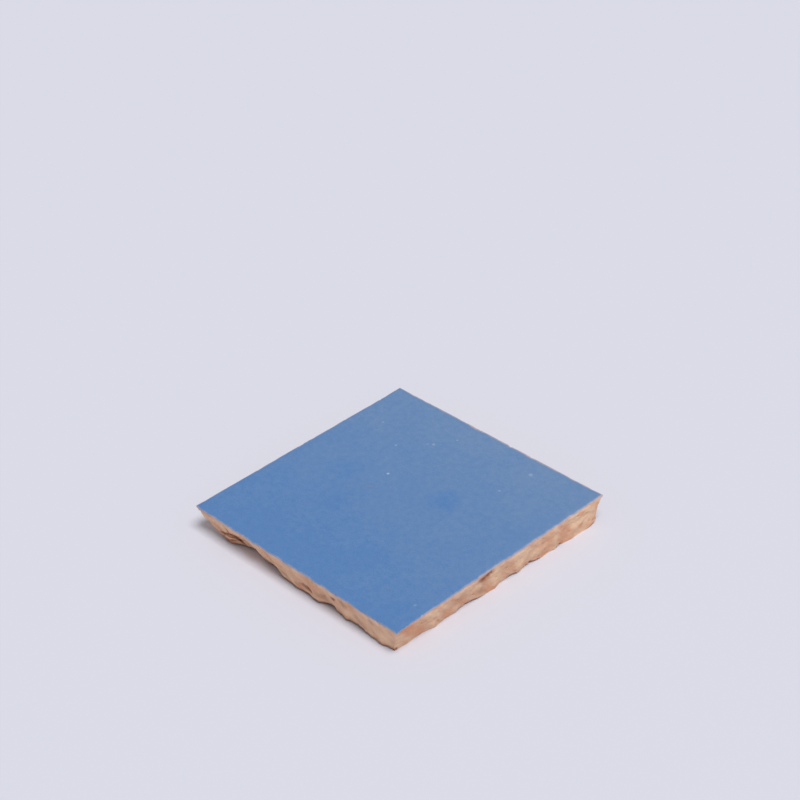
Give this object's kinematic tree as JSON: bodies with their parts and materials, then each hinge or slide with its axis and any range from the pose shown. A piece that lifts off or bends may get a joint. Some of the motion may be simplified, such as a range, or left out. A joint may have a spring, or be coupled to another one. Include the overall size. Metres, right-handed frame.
{
  "type": "zellige tile",
  "caption": "Loose square zellige tile of fired clay with a glazed face and chiselled sides that slope in towards the plain back.",
  "frame": {"origin": "middle of the tile's outline, on the plain back that it lies on", "axes": "+Z out of the glazed face, +X along the left-front side, +Y along the right-front side"},
  "size_m": [0.1008, 0.101, 0.011],
  "materials": {
    "glazed_clay": "satin"
  },
  "bodies": {
    "root": {"tile": "glazed_clay"}
  },
  "joints": []
}
